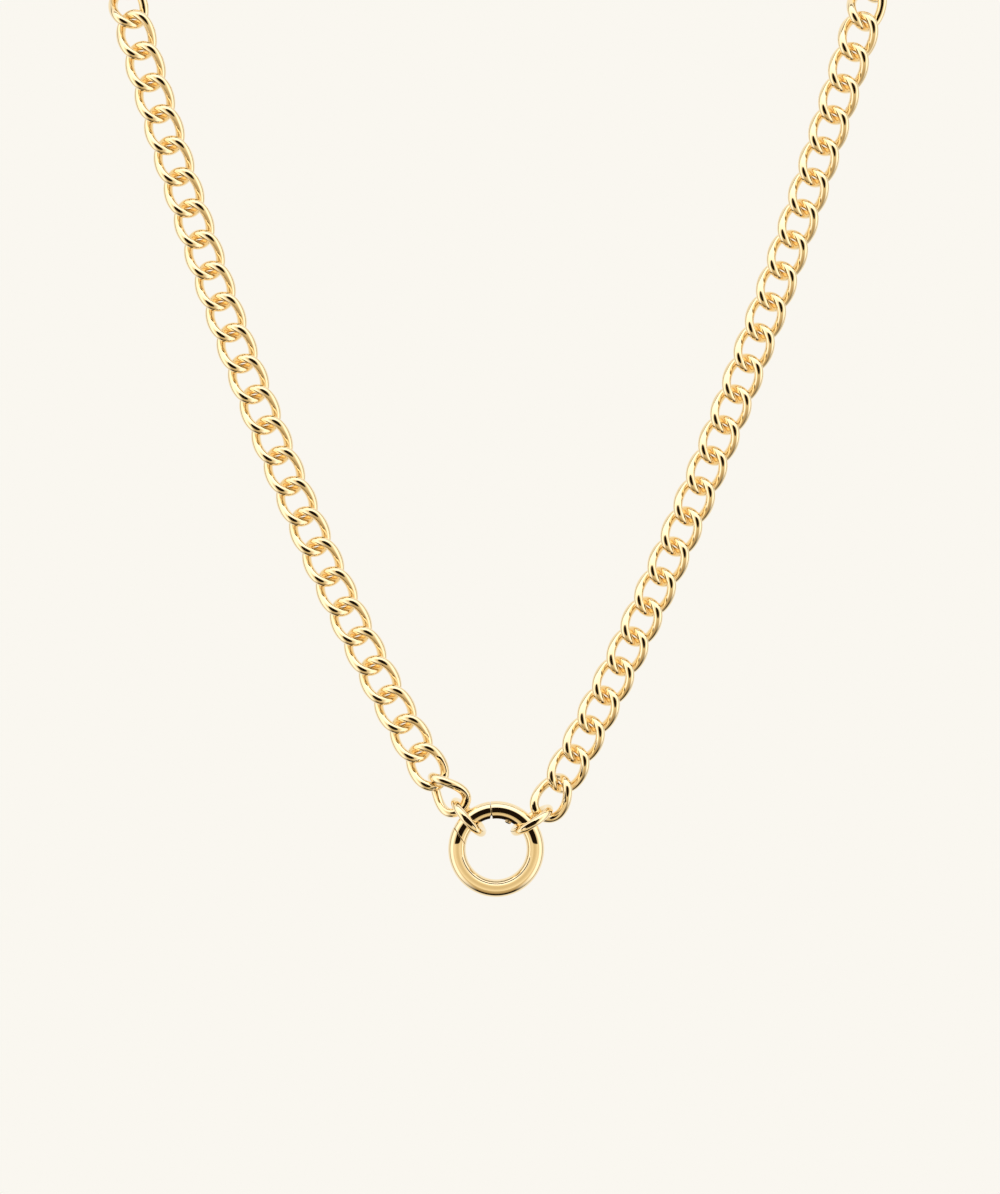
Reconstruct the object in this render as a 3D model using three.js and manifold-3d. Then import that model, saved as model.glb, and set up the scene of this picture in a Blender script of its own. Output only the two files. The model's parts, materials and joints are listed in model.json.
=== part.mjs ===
// Chain necklace: a curb chain that closes at the front on a round charm ring with a spring gate.
// Millimetres, +Z up. The necklace hangs as it is worn: the origin is at the nape, the two front
// strands hang in one vertical plane that faces -Y, and the ring is at the bottom of the V.
import * as THREE from 'three';
import { mergeVertices } from 'three/addons/utils/BufferGeometryUtils.js';
import Module from 'manifold-3d';

const wasm = await Module();
wasm.setup();

// ---- Driving dimensions ----

// Chain
const pitch = 4.11;
const wireRadius = 0.6;
const linkWidth = 5;
const linkTwist = 0.8;
const junctionGap = 0.08;
const strandLinks = 25;
const runLinks = [18, 17, 18];
const fusedOverlap = 0.22;

// Hanging curve of each front strand: its sideways pull and the load at its foot, both given as the
// length of chain that weighs as much. The left end link pulls the lowest link beside it further over.
const hang = {
  left: { tension: 55.6, load: 89, lowestLean: 11 },
  right: { tension: 67.8, load: 120, lowestLean: 0 },
};

// Path round the neck, from the top of a front strand to the nape
const napeHeight = 118;
const napeDepth = 72.6;
const shoulderRise = 34;
const napeSweep = 44;

// Charm ring
const ringRadius = 4.9;
const tubeRadius = 1.1;
const seamGap = 0.06;
const hingeSeam = 97;
const tipSeamOutside = 153;
const tipSeamInside = 173;
const gateTravel = 18;

// Hinge of the gate
const pinAngle = 113;
const pinRadius = 0.28;
const pinLength = 1.6;
const pinPlay = 0.04;
const knuckleRadius = 0.62;
const knuckleThickness = 0.7;

// Leaf spring of the gate and the rivet that holds it
const springStart = 62;
const springEnd = 96;
const springRadius = 4.11;
const springThickness = 0.16;
const springWidth = 0.5;
const rivetAngle = 66.4;
const rivetShank = 0.24;
const rivetHead = 0.42;

// End links, which join the strands to the ring
const endLinkOutside = 6.2;
const endWireRadius = 0.55;
const endLinkTurn = 8;
const rightGripAngle = 42;
const rightEndDirection = 33.2;
const rightEndPlay = 0.15;
const leftGripAngle = 131;
const lowestTurn = { left: -42, right: -15 };

// Mesh fineness
const strandWire = { around: 8, along: 12 };
const fusedWire = { around: 5, along: 8 };
const endWire = { around: 8, along: 16 };
const ringWire = { around: 12, along: 48 };

// ---- Small helpers ----

const up = new THREE.Vector3(0, 0, 1);
const towardWearer = new THREE.Vector3(0, 1, 0);
const ringCentre = new THREE.Vector3(0, -napeDepth, -napeHeight);

/** Direction in the plane of the ring, at an angle in degrees anticlockwise from +X. */
function spoke(angle) {
  const radians = THREE.MathUtils.degToRad(angle);
  return new THREE.Vector3(Math.cos(radians), 0, Math.sin(radians));
}

/** Point in the plane of the ring. */
function ringPoint(radius, angle) {
  return spoke(angle).multiplyScalar(radius).add(ringCentre);
}

/** Solid of a closed geometry. */
function toSolid(geometry) {
  const bare = geometry.clone();
  bare.deleteAttribute('normal');
  bare.deleteAttribute('uv');
  const welded = mergeVertices(bare.index ? bare.toNonIndexed() : bare, 1e-4);
  return new wasm.Manifold(new wasm.Mesh({
    numProp: 3,
    vertProperties: new Float32Array(welded.attributes.position.array),
    triVerts: new Uint32Array(welded.index.array),
  }));
}

/** Geometry of a solid. */
function toGeometry(solid) {
  const mesh = solid.getMesh();
  const geometry = new THREE.BufferGeometry();
  geometry.setAttribute('position', new THREE.BufferAttribute(mesh.vertProperties, 3));
  geometry.setIndex(new THREE.BufferAttribute(mesh.triVerts, 1));
  geometry.computeVertexNormals();
  return geometry;
}

const gold = { color: 0xe2bd74, metalness: 1, roughness: 0.16 };
const steel = { color: 0xb9b7b0, metalness: 1, roughness: 0.3 };

const necklace = new THREE.Group();
necklace.name = 'chain_necklace';

/** Adds one named piece with its own material. */
function addPiece(name, geometry, look = gold) {
  const mesh = new THREE.Mesh(geometry, new THREE.MeshStandardMaterial(look));
  mesh.name = name;
  necklace.add(mesh);
  return mesh;
}

// ---- Links ----

/** Twisted oval link of round wire, standing along +Z with its face toward -Y. */
function twistedLink(halfLength, radius, wire) {
  const halfWidth = linkWidth / 2 - wireRadius;
  const geometry = new THREE.TorusGeometry(2, 1, wire.around, wire.along);
  const position = geometry.attributes.position;
  const centre = new THREE.Vector3();
  const tangent = new THREE.Vector3();
  const side = new THREE.Vector3();
  const depth = new THREE.Vector3();
  for (let i = 0; i < position.count; i += 1) {
    const turn = Math.atan2(position.getY(i), position.getX(i));
    const outward = Math.hypot(position.getX(i), position.getY(i)) - 2;
    const across = position.getZ(i);
    centre.set(
      halfWidth * Math.cos(turn),
      -linkTwist * Math.sin(2 * turn),
      halfLength * Math.sin(turn),
    );
    tangent.set(
      -halfWidth * Math.sin(turn),
      -2 * linkTwist * Math.cos(2 * turn),
      halfLength * Math.cos(turn),
    ).normalize();
    side.crossVectors(towardWearer, tangent).normalize();
    depth.crossVectors(side, tangent);
    centre.addScaledVector(side, outward * radius).addScaledVector(depth, across * radius);
    position.setXYZ(i, centre.x, centre.y, centre.z);
  }
  return geometry;
}

const looseHalfLength = (pitch + 2 * wireRadius + junctionGap) / 2;
const fusedHalfLength = (pitch + 2 * wireRadius - fusedOverlap) / 2;
const fusedRadius = wireRadius / Math.cos(Math.PI / fusedWire.around);
const looseLink = twistedLink(looseHalfLength, wireRadius, strandWire);
const fusedLink = twistedLink(fusedHalfLength, fusedRadius, fusedWire);

/** Where each link of a chain lies, given the points where its links meet. */
function linkPlaces(junctions) {
  const places = [];
  const frame = new THREE.Quaternion();
  let heading = up;
  for (let i = 0; i + 1 < junctions.length; i += 1) {
    const direction = junctions[i + 1].clone().sub(junctions[i]).normalize();
    frame.premultiply(new THREE.Quaternion().setFromUnitVectors(heading, direction));
    places.push({
      position: junctions[i].clone().add(junctions[i + 1]).multiplyScalar(0.5),
      quaternion: frame.clone(),
    });
    heading = direction;
  }
  return places;
}

/** Points where the links of a front strand meet, from the end link up. */
function hangingJunctions(lowest, side, { tension, load, lowestLean }) {
  const junctions = [lowest];
  for (let i = 0; i < strandLinks; i += 1) {
    const extraLean = i === 0 ? THREE.MathUtils.degToRad(lowestLean) : 0;
    const lean = Math.atan2(tension, load + (i + 0.5) * pitch) + extraLean;
    const step = new THREE.Vector3(side * Math.sin(lean), 0, Math.cos(lean));
    junctions.push(junctions[i].clone().addScaledVector(step, pitch));
  }
  return junctions;
}

/** Points where the links meet from the top of a front strand round to the nape. */
function shoulderJunctions(strand, side, links) {
  const top = strand[strand.length - 1];
  const heading = top.clone().sub(strand[strand.length - 2]).normalize();
  const nape = new THREE.Vector3(side * pitch / 2, 0, 0);
  const curve = new THREE.CubicBezierCurve3(
    top,
    top.clone().addScaledVector(heading, shoulderRise),
    nape.clone().add(new THREE.Vector3(side * napeSweep, 0, 0)),
    nape,
  );
  return curve.getSpacedPoints(links);
}

// ---- End links ----

const endLinkRadius = endLinkOutside / 2 - endWireRadius;
const endLinkOpening = endLinkRadius - endWireRadius;
const ringInside = ringRadius - tubeRadius;
const ringOutside = ringRadius + tubeRadius;

/** Round end link whose long way points along one direction of the ring's plane. */
function addEndLink(name, centre, direction, turn) {
  const geometry = new THREE.TorusGeometry(
    endLinkRadius, endWireRadius, endWire.around, endWire.along);
  const mesh = addPiece(name, geometry);
  const facing = new THREE.Vector3().crossVectors(direction, towardWearer);
  mesh.quaternion.setFromRotationMatrix(
    new THREE.Matrix4().makeBasis(direction, towardWearer, facing));
  mesh.rotateX(THREE.MathUtils.degToRad(turn));
  mesh.position.copy(centre);
}

// The right end link pulls on the inside of the ring.
const rightPull = spoke(rightEndDirection);
const rightEndCentre = ringPoint(ringInside, rightGripAngle)
  .addScaledVector(rightPull, endLinkOpening - junctionGap / 2);
const rightLowest = rightEndCentre.clone()
  .addScaledVector(rightPull, endLinkOpening - rightEndPlay);

// The left end link grips the gate. The lowest link of the left strand lies close to the ring, which
// leaves room inside the end link for the gate to open.
const leftPull = spoke(leftGripAngle);
const leftLowest = ringPoint(ringOutside + 2 * wireRadius + junctionGap, leftGripAngle);
const leftEndCentre = leftLowest.clone().addScaledVector(leftPull, -endLinkOpening);

addEndLink('right_end_link', rightEndCentre, rightPull, endLinkTurn);
addEndLink('left_end_link', leftEndCentre, leftPull, -endLinkTurn);

// ---- Front strands and the chain behind the neck ----

const lowestJunctions = { right: rightLowest, left: leftLowest };
const halfRound = (runLinks[0] + runLinks[1] + runLinks[2] - 1) / 2;
const backPlaces = {};
for (const [name, side] of [['right', 1], ['left', -1]]) {
  const strand = hangingJunctions(lowestJunctions[name], side, hang[name]);
  const shoulder = shoulderJunctions(strand, side, halfRound);
  // The link across the nape counts with the right half.
  if (name === 'right') {
    shoulder.push(new THREE.Vector3(-pitch / 2, 0, 0));
  }
  const places = linkPlaces([...strand, ...shoulder.slice(1)]);
  for (let i = 0; i < strandLinks; i += 1) {
    const number = String(i + 1).padStart(2, '0');
    const link = addPiece(`${name}_link_${number}`, looseLink);
    link.position.copy(places[i].position);
    link.quaternion.copy(places[i].quaternion);
  }
  const lowestLink = necklace.getObjectByName(`${name}_link_01`);
  lowestLink.rotateZ(THREE.MathUtils.degToRad(lowestTurn[name]));
  backPlaces[name] = places.slice(strandLinks);
}

// Round the neck the links are joined at their contacts into three runs. The end links of each run
// keep the loose shape, so that runs and strands hook into each other without touching.
const roundNeck = [...backPlaces.right, ...backPlaces.left.toReversed()];
const runNames = ['back_chain_right', 'back_chain_middle', 'back_chain_left'];
let firstLink = 0;
for (const [index, count] of runLinks.entries()) {
  let run = null;
  for (let i = 0; i < count; i += 1) {
    const { position, quaternion } = roundNeck[firstLink + i];
    const isEnd = i === 0 || i === count - 1;
    const matrix = new THREE.Matrix4().compose(
      position, quaternion, new THREE.Vector3(1, 1, 1));
    const link = toSolid((isEnd ? looseLink : fusedLink).clone().applyMatrix4(matrix));
    run = run ? run.add(link) : link;
  }
  addPiece(runNames[index], toGeometry(run));
  firstLink += count;
}

// ---- Charm ring with its gate, hinge, spring and rivet ----

/** Plate in the plane of the ring, given its outline and its thickness across the ring. */
function ringPlate(shape, thickness) {
  const plate = new THREE.ExtrudeGeometry(shape, {
    depth: thickness, bevelEnabled: false, curveSegments: 6 });
  plate.rotateX(Math.PI / 2).translate(0, thickness / 2, 0);
  return plate;
}

/** Outline with straight sides through points given as radius and angle about the ring. */
function outline(corners) {
  const points = corners.map(([radius, angle]) => {
    const point = spoke(angle).multiplyScalar(radius);
    return new THREE.Vector2(point.x, point.z);
  });
  return new THREE.Shape(points);
}

/** Round bar across the ring at the hinge. */
function hingeBar(radius, length) {
  const centre = spoke(pinAngle).multiplyScalar(ringRadius);
  return new THREE.CylinderGeometry(radius, radius, length, 12)
    .translate(centre.x, 0, centre.z);
}

/** Block that covers the part of the ring taken by the gate, pulled back by a gap at both seams. */
function gateBlock(gap) {
  const back = THREE.MathUtils.radToDeg(gap / ringRadius);
  const beyond = 0.25;
  const outside = spoke(tipSeamOutside - back).multiplyScalar(ringOutside);
  const inside = spoke(tipSeamInside - back).multiplyScalar(ringInside);
  const seamOutside = outside.clone().lerp(inside, -beyond);
  const seamInside = outside.clone().lerp(inside, 1 + beyond);
  const shape = outline([
    [0.6 * ringInside, hingeSeam + back],
    [1.5 * ringOutside, hingeSeam + back],
    [1.5 * ringOutside, (hingeSeam + tipSeamOutside) / 2],
  ]);
  shape.lineTo(seamOutside.x, seamOutside.z);
  shape.lineTo(seamInside.x, seamInside.z);
  return toSolid(ringPlate(shape, 4 * tubeRadius));
}

/** Knuckle of the ring body: a thin plate round the pin, with a neck back to the body. */
function knuckle(play) {
  const radius = knuckleRadius + play;
  const thickness = knuckleThickness + 2 * play;
  const lowSide = ringRadius - radius;
  const highSide = ringRadius + radius;
  const neck = outline([
    [lowSide, pinAngle - 6],
    [highSide, pinAngle - 6],
    [highSide, hingeSeam - 3],
    [lowSide, hingeSeam - 3],
  ]);
  return toSolid(ringPlate(neck, thickness)).add(toSolid(hingeBar(radius, thickness)));
}

/** The same solid after the ring body has swung back about the hinge pin, as the gate sees it. */
function swungBack(solid, angle) {
  const centre = spoke(pinAngle).multiplyScalar(ringRadius);
  return solid
    .translate([-centre.x, 0, -centre.z])
    .rotate([0, angle, 0])
    .translate([centre.x, 0, centre.z]);
}

/** Thin plate that follows the ring between two angles. */
function ringStrip(radius, thickness, start, end, width) {
  const shape = new THREE.Shape();
  const from = THREE.MathUtils.degToRad(start);
  const to = THREE.MathUtils.degToRad(end);
  shape.absarc(0, 0, radius + thickness / 2, from, to, false);
  shape.absarc(0, 0, radius - thickness / 2, to, from, true);
  return ringPlate(shape, width);
}

const wholeRing = toSolid(new THREE.TorusGeometry(
  ringRadius, tubeRadius, ringWire.around, ringWire.along).rotateX(Math.PI / 2));
const pinHole = toSolid(hingeBar(pinRadius + pinPlay, pinLength + 2 * pinPlay));
const bodyHeel = toSolid(ringPlate(outline([
  [0.6 * ringInside, hingeSeam],
  [1.5 * ringOutside, hingeSeam],
  [1.5 * ringOutside, hingeSeam - 45],
  [0.6 * ringInside, hingeSeam - 45],
]), 4 * tubeRadius));

// The gate is relieved where it would meet the heel and the knuckle of the body as it opens.
let gate = wholeRing.intersect(gateBlock(seamGap)).subtract(pinHole);
const reliefSteps = 6;
for (let i = 0; i <= reliefSteps; i += 1) {
  const angle = gateTravel * i / reliefSteps;
  gate = gate.subtract(swungBack(knuckle(seamGap), angle));
  gate = gate.subtract(swungBack(bodyHeel, angle));
}
addPiece('ring_gate', toGeometry(gate)).position.copy(ringCentre);

/** Shape turned about a spoke of the ring, given as radius of the shape and radius on the ring. */
function aboutSpoke(profile, angle) {
  const points = profile.map(([radius, along]) => new THREE.Vector2(radius, along));
  const turned = new THREE.LatheGeometry(points, 12);
  const direction = new THREE.Quaternion().setFromUnitVectors(towardWearer, spoke(angle));
  return turned.applyQuaternion(direction);
}

const rivetTop = springRadius - springThickness / 2 - seamGap;
const rivetSeat = ringInside - 0.03;
const channel = toSolid(ringStrip(
  springRadius, springThickness + 2 * seamGap, springStart - 1, hingeSeam + 3,
  springWidth + 2 * seamGap));
const rivetHole = toSolid(aboutSpoke([
  [0, ringInside - 1],
  [rivetShank + pinPlay, ringInside - 1],
  [rivetShank + pinPlay, springRadius],
  [0, springRadius],
], rivetAngle));
const body = wholeRing
  .subtract(gateBlock(0))
  .add(knuckle(0))
  .subtract(pinHole)
  .subtract(channel)
  .subtract(rivetHole);
addPiece('ring_body', toGeometry(body)).position.copy(ringCentre);

addPiece('hinge_pin', hingeBar(pinRadius, pinLength), steel).position.copy(ringCentre);
addPiece(
  'gate_spring',
  ringStrip(springRadius, springThickness, springStart, springEnd, springWidth),
  steel,
).position.copy(ringCentre);
addPiece('spring_rivet', aboutSpoke([
  [0, rivetSeat - 0.28],
  [0.6 * rivetHead, rivetSeat - 0.26],
  [rivetHead, rivetSeat - 0.12],
  [rivetHead, rivetSeat],
  [rivetShank, rivetSeat],
  [rivetShank, rivetTop],
  [0, rivetTop],
], rivetAngle)).position.copy(ringCentre);

export default necklace;
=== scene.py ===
"""Chain necklace of polished gold, hanging as worn, with a round charm ring at the front.

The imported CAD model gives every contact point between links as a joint. Each piece here is a fine
version of a CAD node, placed from those contacts, and rides on the same body. Lengths are metres.
"""

import json
import math

import bmesh
import bpy
from mathutils import Matrix, Quaternion, Vector


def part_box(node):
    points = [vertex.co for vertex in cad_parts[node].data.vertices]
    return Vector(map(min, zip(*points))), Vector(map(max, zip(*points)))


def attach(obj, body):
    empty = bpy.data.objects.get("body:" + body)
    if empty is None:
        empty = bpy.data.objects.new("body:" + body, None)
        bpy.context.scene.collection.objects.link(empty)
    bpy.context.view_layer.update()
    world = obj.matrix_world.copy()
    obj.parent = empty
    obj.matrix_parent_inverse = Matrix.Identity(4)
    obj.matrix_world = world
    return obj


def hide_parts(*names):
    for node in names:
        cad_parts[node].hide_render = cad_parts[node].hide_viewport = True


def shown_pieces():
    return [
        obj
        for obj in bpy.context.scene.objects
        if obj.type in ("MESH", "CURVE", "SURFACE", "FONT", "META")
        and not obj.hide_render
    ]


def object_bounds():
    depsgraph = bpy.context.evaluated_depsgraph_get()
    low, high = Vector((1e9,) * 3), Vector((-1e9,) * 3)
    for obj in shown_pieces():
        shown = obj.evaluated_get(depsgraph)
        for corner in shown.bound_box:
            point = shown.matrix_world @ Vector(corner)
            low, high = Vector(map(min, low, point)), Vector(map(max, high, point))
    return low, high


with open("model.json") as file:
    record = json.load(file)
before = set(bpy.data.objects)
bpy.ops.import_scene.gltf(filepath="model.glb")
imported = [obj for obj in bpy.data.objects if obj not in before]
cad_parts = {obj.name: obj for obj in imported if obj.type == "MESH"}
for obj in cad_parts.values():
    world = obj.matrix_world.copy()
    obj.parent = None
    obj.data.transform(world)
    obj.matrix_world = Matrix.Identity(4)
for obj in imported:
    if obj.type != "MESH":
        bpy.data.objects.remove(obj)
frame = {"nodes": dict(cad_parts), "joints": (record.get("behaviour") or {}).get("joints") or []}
cad_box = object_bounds()

MM = 0.001
UP = Vector((0, 0, 1))
TOWARD_WEARER = Vector((0, 1, 0))

# ---- Sizes that the frame gives ----

contacts = {joint["name"]: Vector(joint["pos_m"]) for joint in frame["joints"]}
strand_links = sum(1 for name in frame["nodes"] if name.startswith("left_link_"))


def contact(side, number):
    """Where link number of a strand meets the one below it."""
    return contacts[f"fold_{number:02d}_{side}"]


pitch = (contact("right", 2) - contact("right", 1)).length
ring_low, ring_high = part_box("ring_body")
ring_outside = (ring_high.x - ring_low.x) / 2
ring_centre = Vector((0, (ring_low.y + ring_high.y) / 2, ring_low.z + ring_outside))
tube_radius = (ring_high.y - ring_low.y) / 2
ring_radius = ring_outside - tube_radius
pin_centre = contacts["clasp_gate"]

# ---- Sizes that part.mjs gives and the frame doesn't ----

WIRE_RADIUS = 0.6 * MM
LINK_WIDTH = 5.0 * MM
LINK_TWIST = 0.8 * MM
JUNCTION_GAP = 0.08 * MM
LOWEST_TURN = {"left": -42, "right": -15}
RUN_LINKS = [18, 17, 18]
SHOULDER_RISE = 34 * MM
NAPE_SWEEP = 44 * MM
HINGE_SEAM = 97
TIP_SEAM_OUTSIDE = 153
TIP_SEAM_INSIDE = 173
SEAM_GAP = 0.06 * MM
GATE_TRAVEL = 18
KNUCKLE_RADIUS = 0.62 * MM
KNUCKLE_THICKNESS = 0.7 * MM
SPRING_RADIUS = 4.11 * MM
SPRING_START = 62
RIVET_ANGLE = 66.4
END_LINK_TURN = 8
END_WIRE_RADIUS = 0.55 * MM
RIVET_STANDS_OUT = 0.03 * MM
CHANNEL_HALF_DEPTH = 0.14 * MM
CHANNEL_WIDTH = 0.62 * MM

# ---- Fine details that part.mjs leaves out ----

TONGUE_INSET = 0.2 * MM
EDGE_ROUNDING = 0.06 * MM
# Faces deeper than this inside the ring's tube get the painted seam shade.
SEAM_SHADE_DEPTH = 0.1 * MM

# ---- Mesh helpers ----


def new_object(name, mesh):
    """An object for a mesh, linked into the scene."""
    piece = bpy.data.objects.new(name, mesh)
    bpy.context.scene.collection.objects.link(piece)
    return piece


def mesh_from(name, vertices, faces):
    """A smooth-shaded mesh with outward faces, whose edges sharper than 35 degrees stay crisp."""
    mesh = bpy.data.meshes.new(name)
    mesh.from_pydata(vertices, [], faces)
    shell = bmesh.new()
    shell.from_mesh(mesh)
    bmesh.ops.recalc_face_normals(shell, faces=shell.faces)
    shell.to_mesh(mesh)
    shell.free()
    mesh.shade_smooth()
    mesh.set_sharp_from_angle(angle=math.radians(35))
    return mesh


def closed_wire(name, centreline, radius, around=20, along=72):
    """A ring of round wire along a closed centreline, a function of an angle in radians."""
    vertices = []
    faces = []
    step = 1e-4
    for i in range(along):
        turn = 2 * math.pi * i / along
        centre = centreline(turn)
        tangent = (centreline(turn + step) - centreline(turn - step)).normalized()
        side = TOWARD_WEARER.cross(tangent).normalized()
        depth = side.cross(tangent)
        for j in range(around):
            angle = 2 * math.pi * j / around
            vertices.append(centre + radius * (math.cos(angle) * side + math.sin(angle) * depth))
            here = i * around
            ahead = (i + 1) % along * around
            beside = (j + 1) % around
            faces.append((here + j, ahead + j, ahead + beside, here + beside))
    return mesh_from(name, vertices, faces)


def ring_point(radius, angle, across=0.0):
    """Point near the ring, from its radius and angle in the plane of the ring."""
    turn = math.radians(angle)
    return ring_centre + Vector((radius * math.cos(turn), across, radius * math.sin(turn)))


def ring_plate(name, corners, thickness):
    """A plate in the plane of the ring, from points in that plane."""
    count = len(corners)
    half = Vector((0, thickness / 2, 0))
    vertices = [corner - half for corner in corners] + [corner + half for corner in corners]
    faces = [tuple(range(count)), tuple(range(2 * count - 1, count - 1, -1))]
    for i in range(count):
        beside = (i + 1) % count
        faces.append((i, i + count, beside + count, beside))
    return new_object(name, mesh_from(name, vertices, faces))


def ring_strip(name, low, high, start, end, thickness):
    """A plate that follows the ring from one angle to another, between two radii."""
    steps = 16
    angles = [start + (end - start) * i / steps for i in range(steps + 1)]
    corners = [ring_point(high, angle) for angle in angles]
    corners += [ring_point(low, angle) for angle in reversed(angles)]
    return ring_plate(name, corners, thickness)


def cut_or_join(piece, tool, operation):
    """Applies one Boolean to a piece and removes the tool."""
    modifier = piece.modifiers.new("shape", "BOOLEAN")
    modifier.operation = operation
    modifier.solver = "EXACT"
    modifier.object = tool
    graph = bpy.context.evaluated_depsgraph_get()
    result = bpy.data.meshes.new_from_object(piece.evaluated_get(graph))
    piece.modifiers.clear()
    piece.data = result
    bpy.data.objects.remove(tool)
    piece.data.shade_smooth()
    piece.data.set_sharp_from_angle(angle=math.radians(35))


# ---- Chain links ----


def twisted_oval(turn):
    """Centreline of a curb link that stands along +Z and faces -Y."""
    half_length = (pitch + 2 * WIRE_RADIUS + JUNCTION_GAP) / 2
    half_width = LINK_WIDTH / 2 - WIRE_RADIUS
    return Vector((
        half_width * math.cos(turn),
        -LINK_TWIST * math.sin(2 * turn),
        half_length * math.sin(turn),
    ))


link_mesh = closed_wire("curb_link", twisted_oval, WIRE_RADIUS)


def link_place(low, high, rotation):
    """Where a link goes between its two contacts."""
    return Matrix.Translation((low + high) / 2) @ rotation.to_matrix().to_4x4()


def place_link(name, matrix, body, node):
    """A fine link that stands for a CAD node, or for part of one."""
    piece = new_object(name, link_mesh)
    piece.matrix_world = matrix
    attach(piece, body)
    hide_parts(node)


def shoulder_contacts(side, count):
    """Contacts from the top of a front strand round the neck to the nape, evenly spaced."""
    sign = 1 if side == "right" else -1
    top = contact(side, strand_links + 1)
    heading = (top - contact(side, strand_links)).normalized()
    nape = Vector((sign * pitch / 2, 0, 0))
    guides = [top, top + SHOULDER_RISE * heading, nape + Vector((sign * NAPE_SWEEP, 0, 0)), nape]

    def on_curve(t):
        weights = [(1 - t) ** 3, 3 * t * (1 - t) ** 2, 3 * t * t * (1 - t), t ** 3]
        return sum((w * guide for w, guide in zip(weights, guides)), Vector())

    fine = [on_curve(i / 400) for i in range(401)]
    travelled = [0.0]
    for before, after in zip(fine, fine[1:]):
        travelled.append(travelled[-1] + (after - before).length)
    spaced = []
    i = 0
    for number in range(count + 1):
        wanted = travelled[-1] * number / count
        while i < 399 and travelled[i + 1] < wanted:
            i += 1
        share = (wanted - travelled[i]) / (travelled[i + 1] - travelled[i])
        spaced.append(fine[i].lerp(fine[i + 1], min(share, 1.0)))
    return spaced


half_round = (sum(RUN_LINKS) - 1) // 2
back_places = {}
for side in ("right", "left"):
    strand = [contact(side, number) for number in range(1, strand_links + 2)]
    shoulder = shoulder_contacts(side, half_round)
    if side == "right":
        shoulder.append(Vector((-pitch / 2, 0, 0)))
    chain = strand + shoulder[1:]
    rotation = Quaternion()
    heading = UP
    places = []
    for low, high in zip(chain, chain[1:]):
        direction = (high - low).normalized()
        rotation = heading.rotation_difference(direction) @ rotation
        heading = direction
        places.append(link_place(low, high, rotation))
    places[0] = places[0] @ Matrix.Rotation(math.radians(LOWEST_TURN[side]), 4, "Z")
    for number in range(1, strand_links + 1):
        node = f"{side}_link_{number:02d}"
        place_link(f"fine_{node}", places[number - 1], node, node)
    back_places[side] = places[strand_links:]

round_neck = back_places["right"] + back_places["left"][::-1]
run_nodes = ["back_chain_right", "back_chain_middle", "back_chain_left"]
number = 0
for node, count in zip(run_nodes, RUN_LINKS):
    for _ in range(count):
        number += 1
        place_link(f"fine_back_link_{number:02d}", round_neck[number - 1], "back_chain", node)

# ---- End links ----


def place_end_link(side):
    """A plain round link between the lowest curb link and the ring."""
    node = f"{side}_end_link"
    low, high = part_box(node)
    centre = (low + high) / 2
    outside = (high.y - low.y) / 2
    pull = contact(side, 1) - centre
    pull.y = 0
    pull.normalize()
    facing = pull.cross(TOWARD_WEARER)
    turn = math.radians(END_LINK_TURN if side == "right" else -END_LINK_TURN)
    basis = Matrix((pull, TOWARD_WEARER, facing)).transposed().to_4x4()
    middle = outside - END_WIRE_RADIUS

    def circle(angle):
        return Vector((middle * math.cos(angle), 0, middle * math.sin(angle)))

    stand_up = Matrix.Rotation(math.radians(90), 4, "X")
    piece = new_object(f"fine_{node}", closed_wire(node, circle, END_WIRE_RADIUS, 24, 96))
    piece.matrix_world = (
        Matrix.Translation(centre) @ basis @ Matrix.Rotation(turn, 4, "X") @ stand_up
    )
    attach(piece, node)
    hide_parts(node)


for side in ("right", "left"):
    place_end_link(side)

# ---- Charm ring ----


def tip_seam(radius):
    """Angle of the slanting seam at the gate's free end, where it crosses a radius."""
    outside = ring_point(ring_radius + tube_radius, TIP_SEAM_OUTSIDE) - ring_centre
    inside = ring_point(ring_radius - tube_radius, TIP_SEAM_INSIDE) - ring_centre
    low, high = -0.2, 1.2
    for _ in range(40):
        middle = (low + high) / 2
        if outside.lerp(inside, middle).length > radius:
            low = middle
        else:
            high = middle
    point = outside.lerp(inside, low)
    return math.degrees(math.atan2(point.z, point.x)) % 360


def swung(point, angle):
    """A point of the gate after the gate has opened by an angle."""
    turn = Matrix.Rotation(math.radians(-angle), 3, "Y")
    return pin_centre + turn @ (point - pin_centre)


def heel_seam(radius):
    """Angle of the gate's end at the hinge, set back where it would meet the body as it opens."""
    angle = HINGE_SEAM + math.degrees(SEAM_GAP / ring_radius)
    limit = angle
    clear = False
    while not clear:
        clear = True
        for turn in range(0, GATE_TRAVEL + 1):
            point = swung(ring_point(radius, angle), turn) - ring_centre
            if math.degrees(math.atan2(point.z, point.x)) < limit - 0.01:
                clear = False
        if not clear:
            angle += 0.1
    return angle


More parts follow.
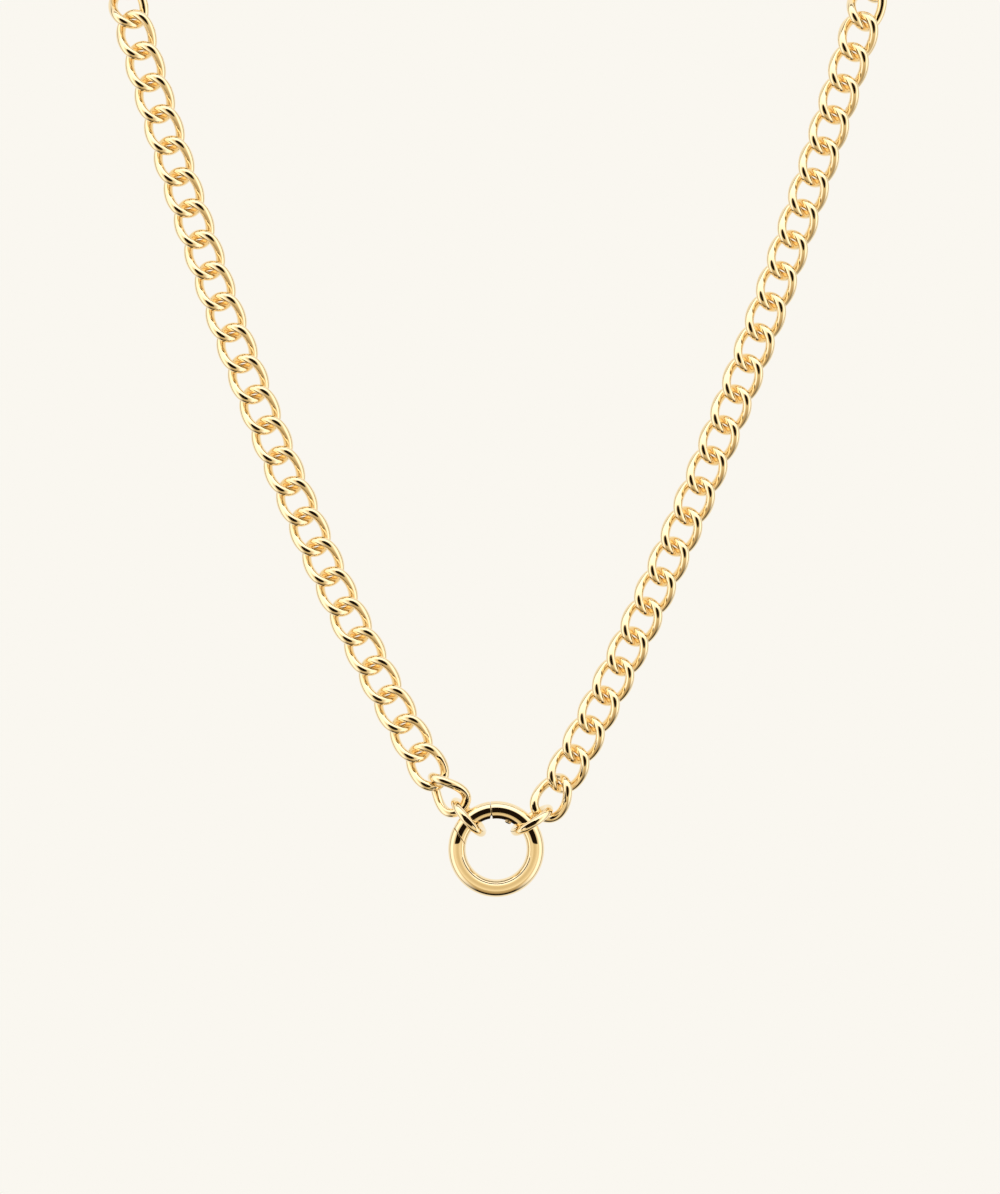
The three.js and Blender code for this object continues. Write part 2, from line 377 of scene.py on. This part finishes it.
def ring_tube(name, start_seam, end_seam, around, along, tongue=0.0):
    """A closed length of the ring's tube between two seams, with softly rounded end edges.

    A tongue is a thinner step that reaches out of the starting end to close the view through a seam.
    """
    rounding = [(0.0, 1.0), (0.3, 0.45), (0.7, 0.08), (1.0, 0.0)]
    rows = [(0.0, depth, inset) for depth, inset in rounding]
    if tongue:
        inset = TONGUE_INSET / EDGE_ROUNDING
        rows = [(0.0, -tongue / EDGE_ROUNDING, inset), (0.0, 0.0, inset)] + rows
    rows += [(i / along, 1.0, 0.0) for i in range(1, along)]
    rows += [(1.0, depth, inset) for depth, inset in reversed(rounding)]
    vertices = []
    for share, depth, inset in rows:
        for j in range(around):
            angle = 2 * math.pi * j / around
            reach = tube_radius - inset * EDGE_ROUNDING
            radius = ring_radius + reach * math.cos(angle)
            back = math.degrees(depth * EDGE_ROUNDING / ring_radius)
            start = start_seam[j] + back
            end = end_seam[j] - back
            vertices.append(ring_point(
                radius, start + (end - start) * share, reach * math.sin(angle)))
    faces = []
    for i in range(len(rows) - 1):
        for j in range(around):
            beside = (j + 1) % around
            faces.append((
                i * around + j, (i + 1) * around + j,
                (i + 1) * around + beside, i * around + beside))
    faces.append(tuple(range(around - 1, -1, -1)))
    last = (len(rows) - 1) * around
    faces.append(tuple(range(last, last + around)))
    return new_object(name, mesh_from(name, vertices, faces))


AROUND = 48
seam_radii = [
    ring_radius + tube_radius * math.cos(2 * math.pi * j / AROUND) for j in range(AROUND)]
tip_back = math.degrees(SEAM_GAP / ring_radius)
gate_start = [heel_seam(radius) for radius in seam_radii]
gate_end = [tip_seam(radius) - tip_back for radius in seam_radii]
body_start = [tip_seam(radius) for radius in seam_radii]
body_end = [HINGE_SEAM + 360.0] * AROUND

pin_angle = math.degrees(math.atan2(
    pin_centre.z - ring_centre.z, pin_centre.x - ring_centre.x))
knuckle_reach = math.degrees(KNUCKLE_RADIUS / ring_radius)

gate = ring_tube("fine_ring_gate", gate_start, gate_end, AROUND, 48)
slot_cutter = ring_strip(
    "knuckle_slot",
    ring_radius - 1.3 * tube_radius, ring_radius + 1.15 * KNUCKLE_RADIUS,
    HINGE_SEAM - 8, pin_angle + 1.2 * knuckle_reach,
    KNUCKLE_THICKNESS + 2 * SEAM_GAP,
)
cut_or_join(gate, slot_cutter, "DIFFERENCE")
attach(gate, "ring_gate")
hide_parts("ring_gate")

body = ring_tube("fine_ring_body", body_start, body_end, AROUND, 200, tongue=0.8 * SEAM_GAP)
round_end = [
    pin_centre + KNUCKLE_RADIUS * Vector((math.cos(turn), 0, math.sin(turn)))
    for turn in (math.radians(pin_angle + 180 * i / 12) for i in range(13))
]
knuckle = ring_plate(
    "knuckle",
    [ring_point(ring_radius + KNUCKLE_RADIUS, HINGE_SEAM - 4)] + round_end
    + [ring_point(ring_radius - KNUCKLE_RADIUS, HINGE_SEAM - 4)],
    KNUCKLE_THICKNESS,
)
cut_or_join(body, knuckle, "UNION")
spring_channel = ring_strip(
    "spring_channel",
    SPRING_RADIUS - CHANNEL_HALF_DEPTH, SPRING_RADIUS + CHANNEL_HALF_DEPTH,
    SPRING_START - 1, HINGE_SEAM + 3,
    CHANNEL_WIDTH,
)
cut_or_join(body, spring_channel, "DIFFERENCE")
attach(body, "ring_body")
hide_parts("ring_body")

# The rivet's domed head stands just below the inside of the ring.
seat = ring_radius - tube_radius - RIVET_STANDS_OUT
rivet_profile = [
    (0.02, -0.28), (0.14, -0.275), (0.26, -0.25), (0.35, -0.20), (0.40, -0.14), (0.42, -0.07),
    (0.41, -0.02), (0.39, 0.0), (0.24, 0.0), (0.24, 0.14), (0.02, 0.14),
]
rivet_around = 32
rivet_vertices = []
for radius, along in rivet_profile:
    for j in range(rivet_around):
        angle = 2 * math.pi * j / rivet_around
        rivet_vertices.append(
            MM * Vector((radius * math.cos(angle), radius * math.sin(angle), along)))
rivet_faces = []
for i in range(len(rivet_profile) - 1):
    for j in range(rivet_around):
        beside = (j + 1) % rivet_around
        rivet_faces.append((
            i * rivet_around + j, i * rivet_around + beside,
            (i + 1) * rivet_around + beside, (i + 1) * rivet_around + j))
rivet_faces.append(tuple(range(rivet_around)))
top_row = (len(rivet_profile) - 1) * rivet_around
rivet_faces.append(tuple(range(top_row, top_row + rivet_around)))
rivet = new_object("fine_spring_rivet", mesh_from("rivet", rivet_vertices, rivet_faces))
outward = ring_point(1.0, RIVET_ANGLE) - ring_centre
rivet.matrix_world = (
    Matrix.Translation(ring_point(seat, RIVET_ANGLE))
    @ UP.rotation_difference(outward).to_matrix().to_4x4()
)
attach(rivet, "ring_body")
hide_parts("spring_rivet")

# ---- Materials ----


def metal(name, colour, deep_colour, roughness, scratch_size, scratch_depth):
    """Polished metal with faint clouding, fine polishing scratches and uneven gloss."""
    material = bpy.data.materials.new(name)
    material.use_nodes = True
    nodes = material.node_tree.nodes
    links = material.node_tree.links
    shader = nodes["Principled BSDF"]
    shader.inputs["Metallic"].default_value = 1.0
    place = nodes.new("ShaderNodeTexCoord")

    clouds = nodes.new("ShaderNodeTexNoise")
    clouds.inputs["Scale"].default_value = 420
    clouds.inputs["Detail"].default_value = 4
    links.new(place.outputs["Object"], clouds.inputs["Vector"])
    tint = nodes.new("ShaderNodeValToRGB")
    tint.color_ramp.elements[0].position = 0.3
    tint.color_ramp.elements[0].color = (*deep_colour, 1)
    tint.color_ramp.elements[1].position = 0.7
    tint.color_ramp.elements[1].color = (*colour, 1)
    links.new(clouds.outputs["Fac"], tint.inputs["Fac"])
    links.new(tint.outputs["Color"], shader.inputs["Base Color"])

    gloss = nodes.new("ShaderNodeMapRange")
    gloss.inputs["To Min"].default_value = 0.7 * roughness
    gloss.inputs["To Max"].default_value = 1.4 * roughness
    links.new(clouds.outputs["Fac"], gloss.inputs["Value"])
    links.new(gloss.outputs["Result"], shader.inputs["Roughness"])

    stretch = nodes.new("ShaderNodeMapping")
    stretch.inputs["Scale"].default_value = (1, 1, 0.12)
    links.new(place.outputs["Object"], stretch.inputs["Vector"])
    scratches = nodes.new("ShaderNodeTexNoise")
    scratches.inputs["Scale"].default_value = 1 / scratch_size
    scratches.inputs["Detail"].default_value = 6
    links.new(stretch.outputs["Vector"], scratches.inputs["Vector"])
    bump = nodes.new("ShaderNodeBump")
    bump.inputs["Strength"].default_value = 0.25
    bump.inputs["Distance"].default_value = scratch_depth
    links.new(scratches.outputs["Fac"], bump.inputs["Height"])
    links.new(bump.outputs["Normal"], shader.inputs["Normal"])
    return material


gold = metal(
    "polished_gold", (1.0, 0.84, 0.57), (0.96, 0.79, 0.51), 0.045, 0.05 * MM, 0.001 * MM)
steel = metal(
    "spring_steel", (0.62, 0.60, 0.57), (0.50, 0.49, 0.47), 0.3, 0.03 * MM, 0.004 * MM)

# Near-black painted shade for the faces deep in the ring's seams; the gold there is not really darker.
painted_seam_shade = metal(
    "painted_shade_in_seams", (0.10, 0.06, 0.03), (0.05, 0.03, 0.015), 0.5, 0.03 * MM, 0.004 * MM)

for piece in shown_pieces():
    is_steel = piece.name in ("hinge_pin", "gate_spring")
    piece.data.materials.clear()
    piece.data.materials.append(steel if is_steel else gold)

# The faces inside the ring's tube, at seams and round the hinge, get a near-black colour: painted
# shade for the light trapped in the seams.
for piece in (body, gate):
    piece.data.materials.append(painted_seam_shade)
    for face in piece.data.polygons:
        spoke = face.center - ring_centre
        spoke.y = 0
        from_tube_centre = face.center - ring_centre - ring_radius * spoke.normalized()
        if from_tube_centre.length < tube_radius - SEAM_SHADE_DEPTH:
            face.material_index = 1

# ---- Floor, backdrop and light ----

PAPER = (0.956, 0.930, 0.871)


def emission(name, colour):
    """A material that shines evenly."""
    material = bpy.data.materials.new(name)
    material.use_nodes = True
    nodes = material.node_tree.nodes
    nodes.remove(nodes["Principled BSDF"])
    glow = nodes.new("ShaderNodeEmission")
    glow.inputs["Color"].default_value = (*colour, 1)
    glow.inputs["Strength"].default_value = 1.0
    material.node_tree.links.new(glow.outputs["Emission"], nodes["Material Output"].inputs["Surface"])
    return material


floor_mesh = bpy.data.meshes.new("floor")
size = 4.0
height = cad_box[0].z - 0.06
floor_mesh.from_pydata(
    [(-size, -size, height), (size, -size, height), (size, size, height), (-size, size, height)],
    [], [(0, 1, 2, 3)])
floor_mesh.materials.append(emission("paper", PAPER))
floor = new_object("floor", floor_mesh)
floor.visible_glossy = False

# ---- Cards that shape the reflections in the ring ----

BLACK = (0.012, 0.007, 0.004)
TAN = (0.75, 0.62, 0.39)
PALE_GOLD = (1.05, 0.93, 0.68)
UPPER_CARD_DISTANCE = 5.5 * MM
LOWER_CARD_DISTANCE = 5.6 * MM
LOWER_CARD_REACH = 4 * MM
SHELF_HEIGHT = 2.2 * MM
SHELF_HALF_WIDTH = 3 * MM
SHELF_FRONT = -1.2 * MM
SHELF_BACK = 8.5 * MM


def ramp(nodes, stops):
    """A colour ramp node from (position, grey or colour) stops."""
    node = nodes.new("ShaderNodeValToRGB")
    elements = node.color_ramp.elements
    while len(elements) > 1:
        elements.remove(elements[-1])
    for i, (position, value) in enumerate(stops):
        colour = value if isinstance(value, tuple) else (value, value, value)
        element = elements[0] if i == 0 else elements.new(position)
        element.position = position
        element.color = (*colour, 1)
    return node


def card_from(name, corners, colour):
    """A flat card that the camera sees only in reflections."""
    mesh = bpy.data.meshes.new(name)
    mesh.from_pydata(corners, [], [tuple(range(len(corners)))])
    mesh.materials.append(emission(f"{name}_colour", colour))
    card = new_object(name, mesh)
    card.visible_camera = False
    card.visible_diffuse = False
    card.visible_shadow = False
    return card


def arc_card(name, distance, low, high, start, end, colour):
    """A card that follows part of the ring, in front of it."""
    steps = 24
    angles = [start + (end - start) * i / steps for i in range(steps + 1)]
    corners = [ring_point(high, angle, -distance) for angle in angles]
    corners += [ring_point(low, angle, -distance) for angle in reversed(angles)]
    return card_from(name, corners, colour)


def shade_lower_card(card):
    """Makes a card darkest from the ring's own circle to a little inside it, and pale at its edges."""
    nodes = card.data.materials[0].node_tree.nodes
    links = card.data.materials[0].node_tree.links
    place = nodes.new("ShaderNodeTexCoord")
    from_centre = nodes.new("ShaderNodeVectorMath")
    from_centre.operation = "DISTANCE"
    from_centre.inputs[1].default_value = ring_centre - Vector((0, LOWER_CARD_DISTANCE, 0))
    links.new(place.outputs["Object"], from_centre.inputs[0])
    across = nodes.new("ShaderNodeMapRange")
    across.inputs["From Min"].default_value = ring_radius - LOWER_CARD_REACH
    across.inputs["From Max"].default_value = ring_radius + LOWER_CARD_REACH
    links.new(from_centre.outputs["Value"], across.inputs["Value"])
    colours = ramp(nodes, [(0.0, PALE_GOLD), (0.3, TAN), (0.5, TAN), (1.0, PALE_GOLD)])
    links.new(across.outputs["Result"], colours.inputs["Fac"])
    links.new(colours.outputs["Color"], nodes["Emission"].inputs["Color"])


def clear_from_below(card):
    """Leaves a level card's colour on its top and makes its underside clear."""
    nodes = card.data.materials[0].node_tree.nodes
    links = card.data.materials[0].node_tree.links
    side_seen = nodes.new("ShaderNodeNewGeometry")
    clear = nodes.new("ShaderNodeBsdfTransparent")
    mix = nodes.new("ShaderNodeMixShader")
    links.new(side_seen.outputs["Backfacing"], mix.inputs["Fac"])
    links.new(nodes["Emission"].outputs["Emission"], mix.inputs[1])
    links.new(clear.outputs["BSDF"], mix.inputs[2])
    links.new(mix.outputs["Shader"], nodes["Material Output"].inputs["Surface"])


arc_card(
    "upper_card", UPPER_CARD_DISTANCE, ring_radius - 2.9 * MM, ring_radius + 2.1 * MM, 8, 172, BLACK)
lower_card = arc_card(
    "lower_card", LOWER_CARD_DISTANCE,
    ring_radius - LOWER_CARD_REACH, ring_radius + LOWER_CARD_REACH, 174, 366, TAN)
shade_lower_card(lower_card)

# The shelf lies level across the ring's hole and darkens the underside of the ring's upper half.
shelf = card_from("shelf_card", [
    ring_centre + Vector((x, y, SHELF_HEIGHT))
    for x, y in (
        (-SHELF_HALF_WIDTH, SHELF_FRONT), (SHELF_HALF_WIDTH, SHELF_FRONT),
        (SHELF_HALF_WIDTH, SHELF_BACK), (-SHELF_HALF_WIDTH, SHELF_BACK))
], BLACK)
clear_from_below(shelf)

# ---- Light tent ----

world = bpy.data.worlds.new("light_tent")
bpy.context.scene.world = world
world.use_nodes = True
nodes = world.node_tree.nodes
links = world.node_tree.links
nodes.clear()
direction = nodes.new("ShaderNodeTexCoord")
split = nodes.new("ShaderNodeSeparateXYZ")
links.new(direction.outputs["Generated"], split.inputs["Vector"])
front = nodes.new("ShaderNodeMath")
front.operation = "MULTIPLY"
front.inputs[1].default_value = -1
links.new(split.outputs["Y"], front.inputs[0])
climb = nodes.new("ShaderNodeMath")
climb.operation = "ARCTAN2"
links.new(split.outputs["Z"], climb.inputs[0])
links.new(front.outputs["Value"], climb.inputs[1])
share = nodes.new("ShaderNodeMapRange")
share.inputs["From Min"].default_value = -math.pi
share.inputs["From Max"].default_value = math.pi
links.new(climb.outputs["Value"], share.inputs["Value"])


def climb_share(degrees):
    """Ramp position of an angle that climbs from the front of the tent over its top."""
    return (degrees + 180) / 360


tent = ramp(nodes, [
    (climb_share(-180), (0.95, 0.93, 0.87)),
    (climb_share(-114), (0.90, 0.86, 0.78)),
    (climb_share(-107), (0.01, 0.008, 0.005)),
    (climb_share(-82), (0.01, 0.008, 0.005)),
    (climb_share(-72), (0.42, 0.30, 0.15)),
    (climb_share(-36), (0.70, 0.57, 0.34)),
    (climb_share(0), (0.76, 0.64, 0.41)),
    (climb_share(24), (0.86, 0.76, 0.55)),
    (climb_share(38), (1.35, 1.32, 1.22)),
    (climb_share(78), (1.75, 1.70, 1.62)),
    (climb_share(81), (0.20, 0.17, 0.13)),
    (climb_share(87), (0.20, 0.17, 0.13)),
    (climb_share(90), (1.0, 0.97, 0.90)),
    (climb_share(180), (0.95, 0.93, 0.87)),
])
links.new(share.outputs["Result"], tent.inputs["Fac"])

# The side walls are seen in the wires that run up and down.
facing = nodes.new("ShaderNodeMapRange")
facing.inputs["From Min"].default_value = -1.0
links.new(front.outputs["Value"], facing.inputs["Value"])


def front_share(value):
    """Ramp position of a direction's frontward part, from -1 at the back to 1 at the front."""
    return (value + 1) / 2


walls = ramp(nodes, [
    (front_share(-1.0), (0.95, 0.93, 0.87)),
    (front_share(-0.38), (0.92, 0.88, 0.80)),
    (front_share(-0.32), (0.30, 0.26, 0.20)),
    (front_share(-0.20), (0.30, 0.26, 0.20)),
    (front_share(-0.12), (1.10, 1.05, 0.95)),
    (front_share(0.45), (1.40, 1.36, 1.28)),
    (front_share(0.75), (0.80, 0.70, 0.50)),
])
links.new(facing.outputs["Result"], walls.inputs["Fac"])
sideways = nodes.new("ShaderNodeMath")
sideways.operation = "ABSOLUTE"
links.new(split.outputs["X"], sideways.inputs[0])
side_share = ramp(nodes, [(0.0, 0.0), (0.40, 0.0), (0.78, 1.0)])
links.new(sideways.outputs["Value"], side_share.inputs["Fac"])
with_walls = nodes.new("ShaderNodeMixRGB")
links.new(side_share.outputs["Color"], with_walls.inputs["Fac"])
links.new(tent.outputs["Color"], with_walls.inputs["Color1"])
links.new(walls.outputs["Color"], with_walls.inputs["Color2"])

# The tent's dark opening, round the camera.
opening = ramp(nodes, [(0.0, 0.0), (front_share(0.82), 0.0), (front_share(0.85), 1.0)])
links.new(facing.outputs["Result"], opening.inputs["Fac"])
with_opening = nodes.new("ShaderNodeMixRGB")
links.new(opening.outputs["Color"], with_opening.inputs["Fac"])
links.new(with_walls.outputs["Color"], with_opening.inputs["Color1"])
with_opening.inputs["Color2"].default_value = (*BLACK, 1)
rays = nodes.new("ShaderNodeLightPath")
seen = nodes.new("ShaderNodeMixRGB")
links.new(rays.outputs["Is Camera Ray"], seen.inputs["Fac"])
links.new(with_opening.outputs["Color"], seen.inputs["Color1"])
seen.inputs["Color2"].default_value = (*PAPER, 1)
background = nodes.new("ShaderNodeBackground")
links.new(seen.outputs["Color"], background.inputs["Color"])
output = nodes.new("ShaderNodeOutputWorld")
links.new(background.outputs["Background"], output.inputs["Surface"])

scene = bpy.context.scene
scene.view_settings.view_transform = "Standard"
scene.view_settings.look = "None"

# ---- Camera: level, from the front, with the ring near the bottom of the picture ----

PICTURE_WIDTH = 125 * MM
PICTURE_ASPECT = 1194 / 1000
LENS = 200.0
SENSOR_WIDTH = 36.0
RING_LEFT_OF_MIDDLE = 0.475 * MM
RING_BELOW_MIDDLE = 31.5 * MM
camera_data = bpy.data.cameras.new("camera")
camera_data.lens = LENS
camera_data.sensor_width = SENSOR_WIDTH
camera_data.clip_start = 0.01
camera_data.clip_end = 20
camera = bpy.data.objects.new("camera", camera_data)
scene.collection.objects.link(camera)
picture_height = PICTURE_WIDTH * PICTURE_ASPECT
distance = picture_height * LENS / SENSOR_WIDTH
camera.location = ring_centre + Vector((RING_LEFT_OF_MIDDLE, -distance, RING_BELOW_MIDDLE))
camera.rotation_euler = (math.radians(90), 0, 0)
scene.camera = camera
